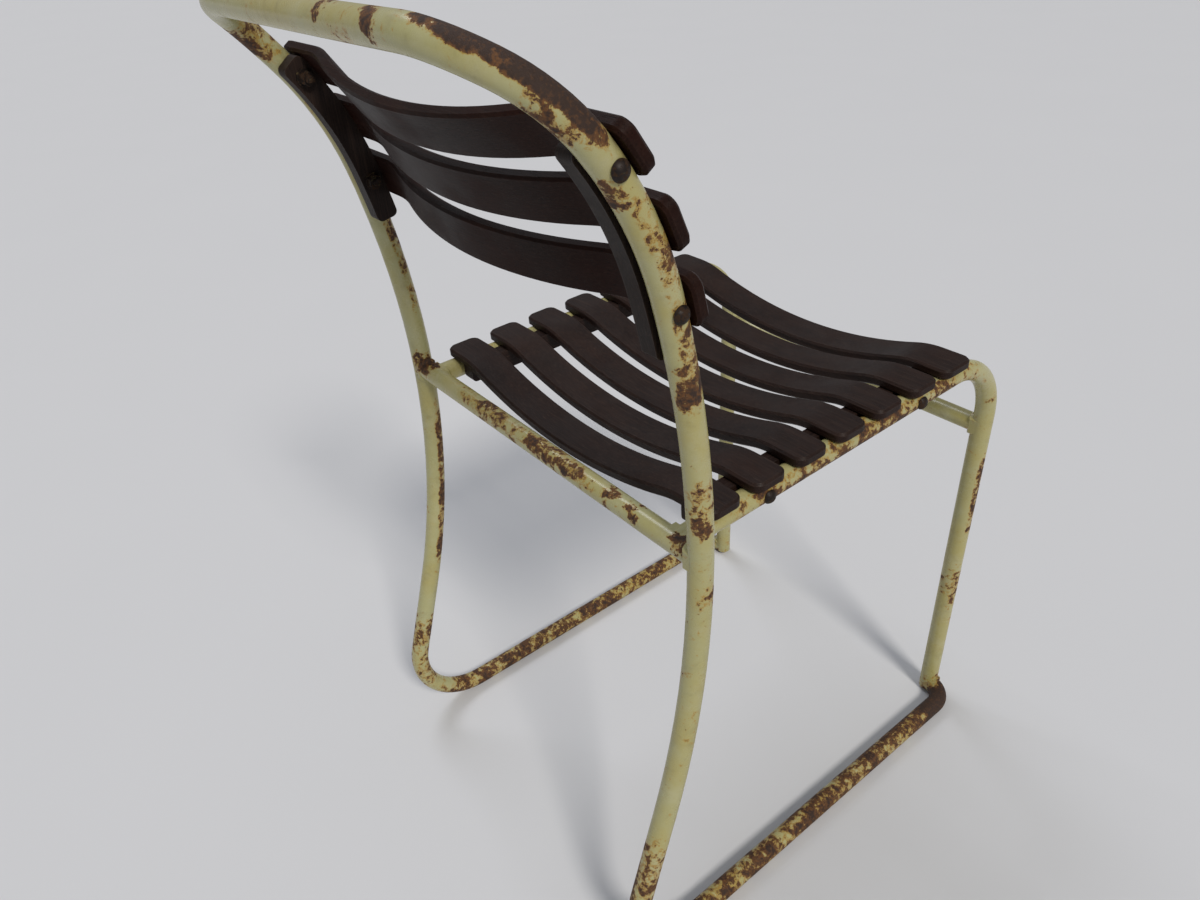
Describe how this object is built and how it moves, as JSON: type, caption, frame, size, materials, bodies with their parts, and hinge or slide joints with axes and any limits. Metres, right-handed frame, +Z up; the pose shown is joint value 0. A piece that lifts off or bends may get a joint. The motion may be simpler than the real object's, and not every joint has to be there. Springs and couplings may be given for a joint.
{
  "type": "stacking chair",
  "caption": "Stacking chair with a bent steel tube frame, a seat of dished dark wooden slats and a curved slatted back under a tube hoop",
  "frame": {"origin": "on the floor, under the middle of the chair's bounding box", "axes": "+Z is up, the sitter faces -Y, +X is the sitter's left"},
  "size_m": [0.42, 0.5416, 0.7984],
  "materials": {
    "cream_paint": "gloss cream paint, worn and rusted",
    "slat_wood": "very dark brown stain, satin, worn",
    "batten_wood": "very dark brown stain, satin",
    "bolt_steel": "dark, browned with rust"
  },
  "bodies": {
    "root": {"frame_tube": "cream_paint", "side_tube_left": "cream_paint", "side_tube_right": "cream_paint", "rear_cross_tube": "cream_paint", "front_cross_tube": "cream_paint", "weld_fillets": "cream_paint", "seat_slat_1": "slat_wood", "seat_slat_2": "slat_wood", "seat_slat_3": "slat_wood", "seat_slat_4": "slat_wood", "seat_slat_5": "slat_wood", "seat_slat_6": "slat_wood", "seat_slat_7": "slat_wood", "back_slat_top": "slat_wood", "back_slat_middle": "slat_wood", "back_slat_low": "slat_wood", "seat_batten_left": "batten_wood", "seat_batten_right": "batten_wood", "back_batten_left": "batten_wood", "back_batten_right": "batten_wood", "bolts": "bolt_steel", "washers": "bolt_steel", "nuts": "bolt_steel"}
  },
  "joints": []
}
